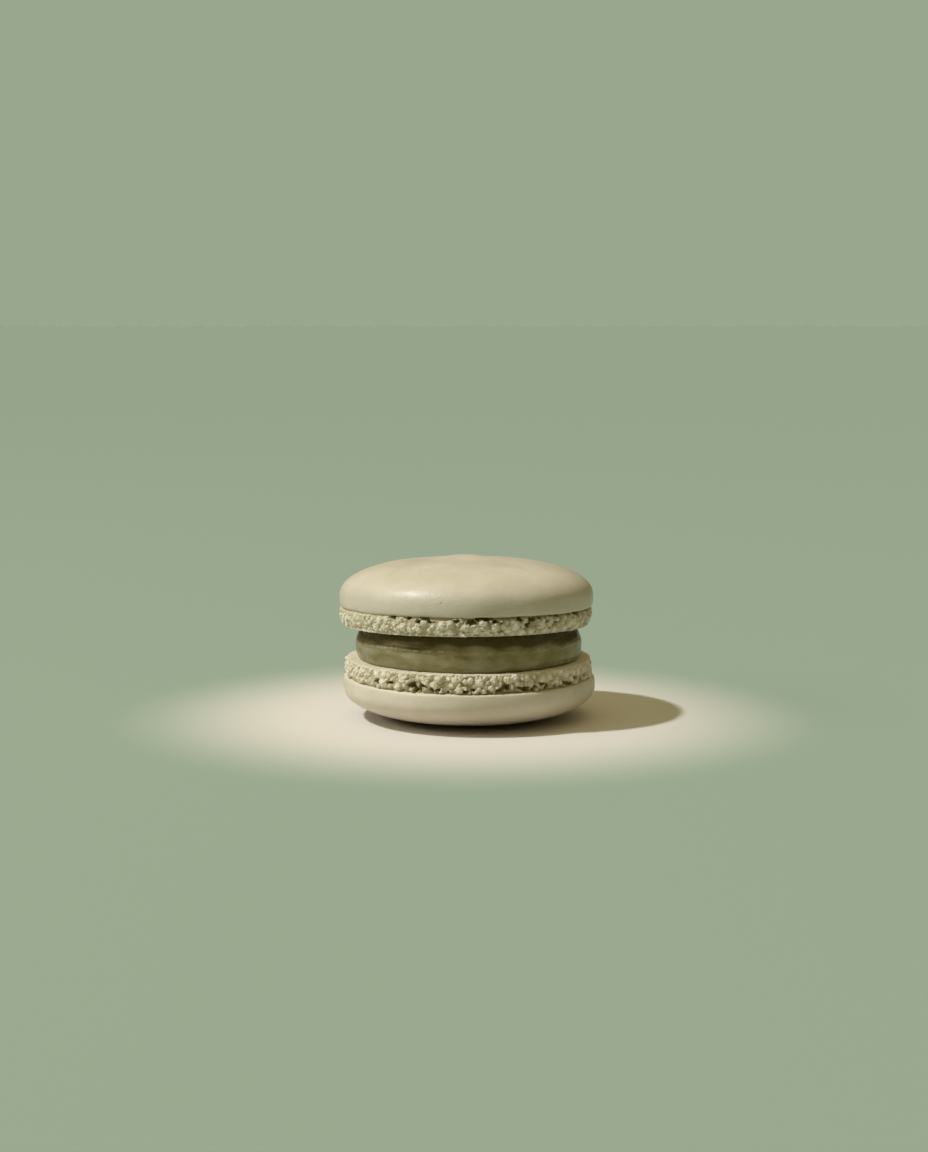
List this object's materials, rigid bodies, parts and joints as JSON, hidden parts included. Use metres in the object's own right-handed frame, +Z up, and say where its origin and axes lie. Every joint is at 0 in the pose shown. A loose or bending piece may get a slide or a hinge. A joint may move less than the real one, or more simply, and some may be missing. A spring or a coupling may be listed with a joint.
{
  "type": "french macaron",
  "caption": "Round sandwich biscuit: two domed almond meringue shells with craggy feet, held together by a thick disc of ganache.",
  "frame": {"origin": "on the surface the macaron stands on, under the middle of its outline", "axes": "+Z up through both shells, -Y towards the front"},
  "size_m": [0.0454, 0.0448, 0.029],
  "materials": {
    "shell": "matt baked meringue with an eggshell sheen on the caps and an open crumb at the feet",
    "filling": "satin olive ganache"
  },
  "bodies": {
    "root": {"top_shell": "shell", "filling": "filling", "bottom_shell": "shell"}
  },
  "joints": []
}
